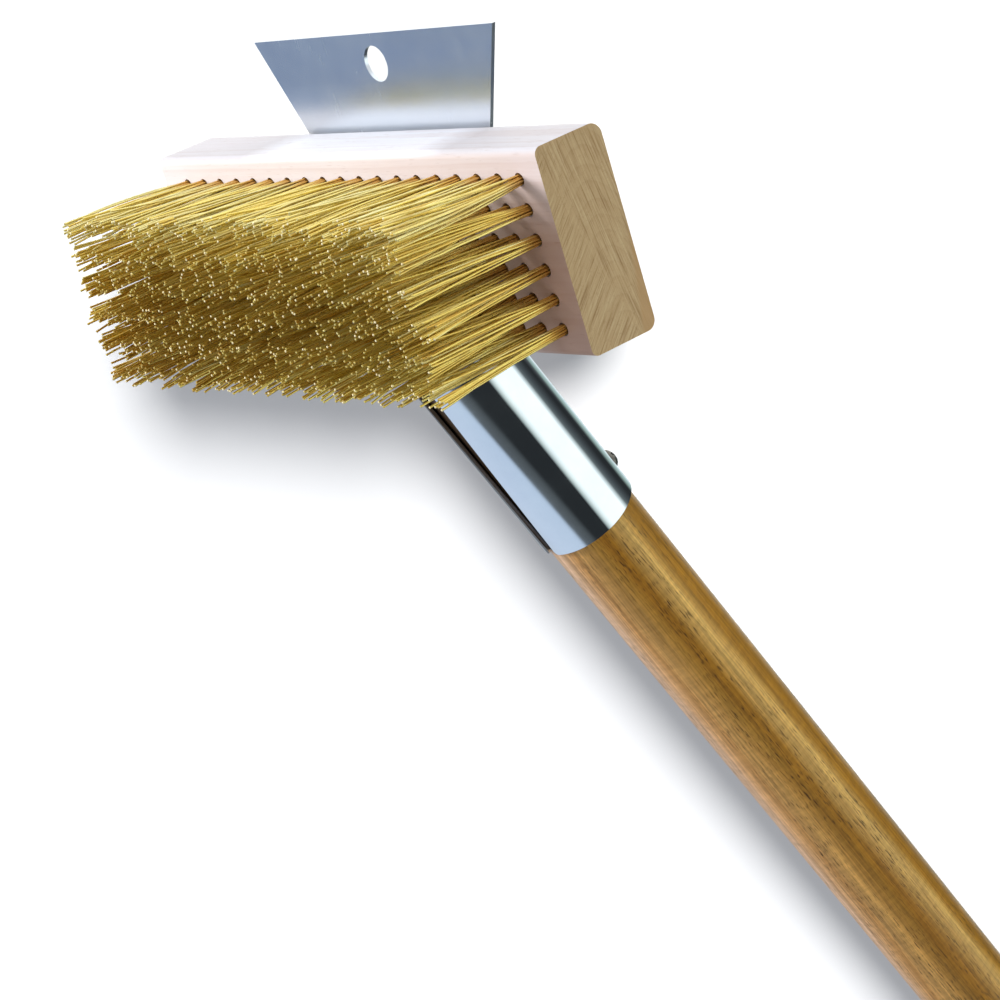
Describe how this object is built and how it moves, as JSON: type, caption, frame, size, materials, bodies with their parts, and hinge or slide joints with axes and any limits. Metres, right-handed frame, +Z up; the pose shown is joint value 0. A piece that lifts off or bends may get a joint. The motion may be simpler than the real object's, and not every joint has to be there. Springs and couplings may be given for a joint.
{
  "type": "grill cleaning brush",
  "caption": "Long-handled grill brush: wooden block set with brass wire tufts, one-piece steel scraper and rolled handle socket, round wooden handle.",
  "frame": {"origin": "bottom centre of the part's box as it lies on its back on a table, resting on the scraper edge and the handle's end", "axes": "+Y along the brush from the handle's end to the scraper edge, +X along the block, +Z up, towards the bristle tips"},
  "size_m": [0.2, 0.7618, 0.0982],
  "materials": {
    "block_wood": "bare sanded hardwood, pale",
    "brass_wire": "bright drawn wire",
    "anchor_steel": "plain",
    "bracket_steel": "bright zinc plated, fine scuffs",
    "screw_steel": "dark plated",
    "handle_wood": "golden brown stain, satin"
  },
  "bodies": {
    "root": {"brush_block": "block_wood", "tuft_column_01": "brass_wire", "tuft_column_02": "brass_wire", "tuft_column_03": "brass_wire", "tuft_column_04": "brass_wire", "tuft_column_05": "brass_wire", "tuft_column_06": "brass_wire", "tuft_column_07": "brass_wire", "tuft_column_08": "brass_wire", "tuft_column_09": "brass_wire", "tuft_column_10": "brass_wire", "tuft_column_11": "brass_wire", "tuft_column_12": "brass_wire", "tuft_column_13": "brass_wire", "tuft_column_14": "brass_wire", "tuft_column_15": "brass_wire", "tuft_column_16": "brass_wire", "tuft_column_17": "brass_wire", "tuft_column_18": "brass_wire", "tuft_column_19": "brass_wire", "tuft_anchors": "anchor_steel", "scraper_bracket": "bracket_steel", "block_screws": "screw_steel", "handle": "handle_wood", "handle_screw": "screw_steel"}
  },
  "joints": []
}
